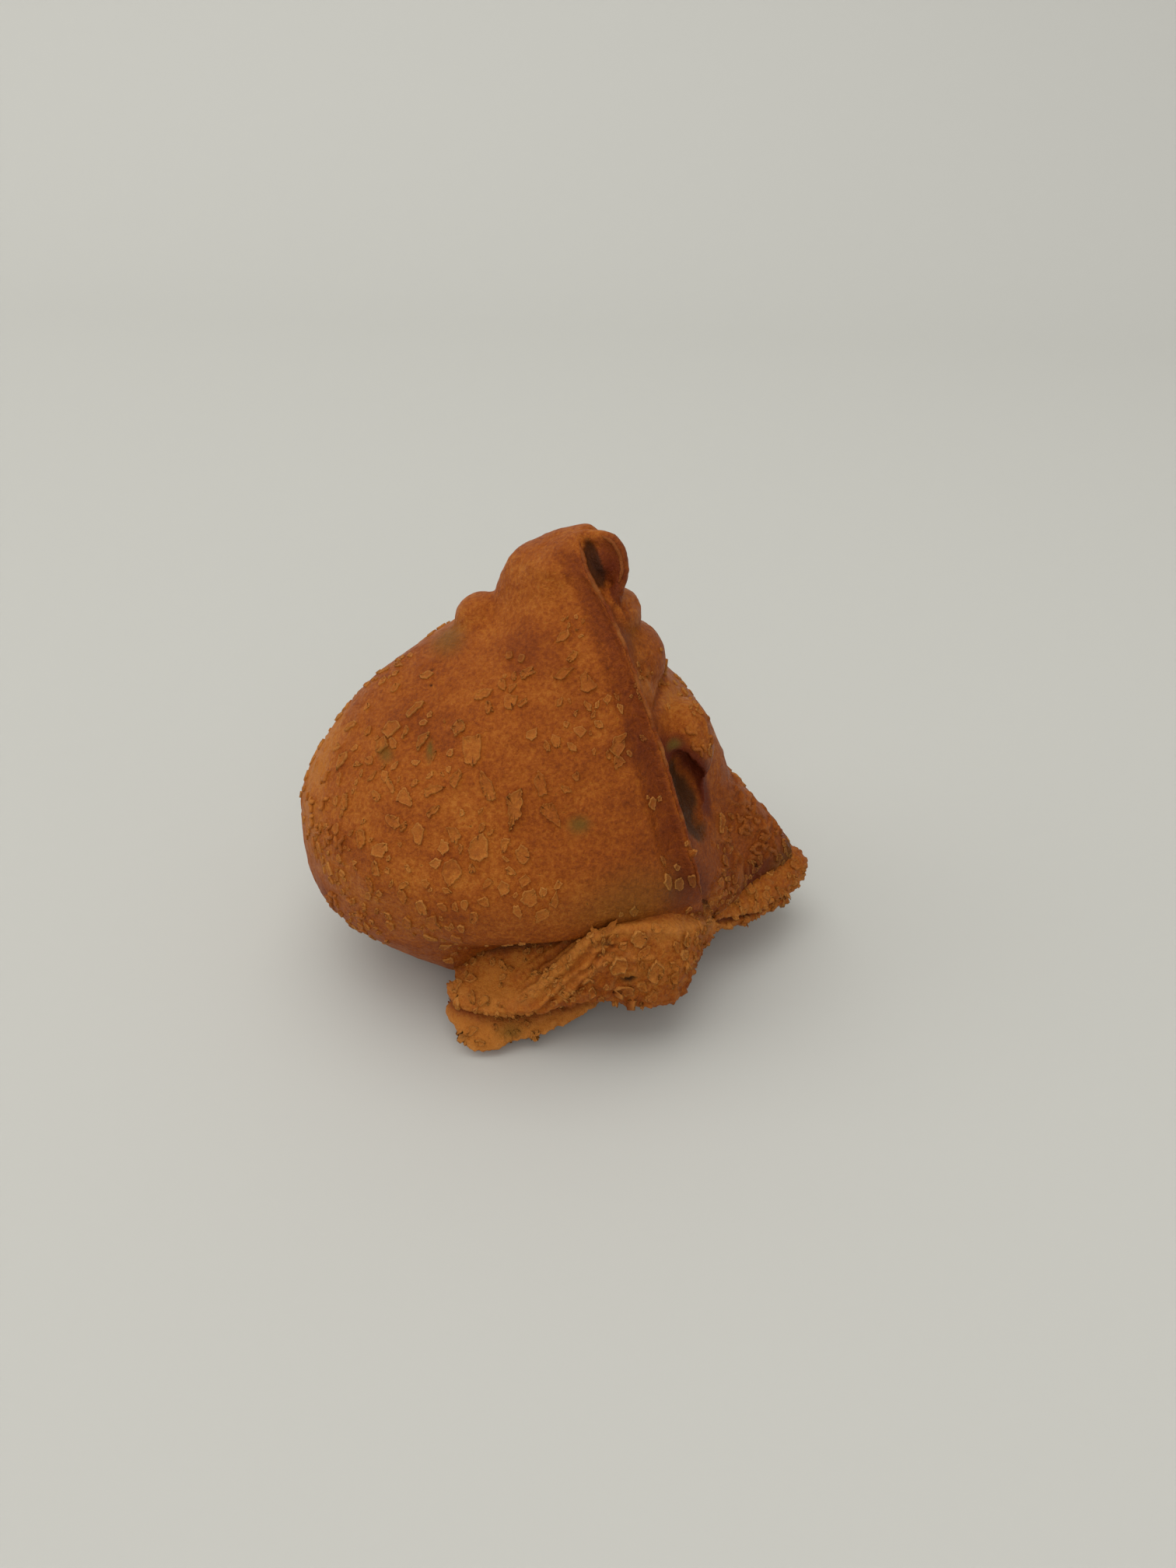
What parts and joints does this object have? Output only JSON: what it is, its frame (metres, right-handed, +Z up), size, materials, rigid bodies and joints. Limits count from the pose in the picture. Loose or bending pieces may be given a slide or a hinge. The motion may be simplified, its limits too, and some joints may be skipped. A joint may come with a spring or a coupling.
{
  "type": "samosa",
  "caption": "Fried samosa: a tall lopsided dough cone with a round belly, a lapped seam, a curled tip, a turned-up skirt and a pointed side wing, resting on its base.",
  "frame": {"origin": "middle of the bounding box in X and Y, at the flat spot the samosa rests on", "axes": "+Z up through the tip, -Y the front with the turned-up skirt, +X towards the pointed wing"},
  "size_m": [0.0928, 0.0708, 0.0803],
  "materials": {
    "fried_dough": "matte with a slight oily sheen"
  },
  "bodies": {
    "root": {"samosa": "fried_dough"}
  },
  "joints": []
}
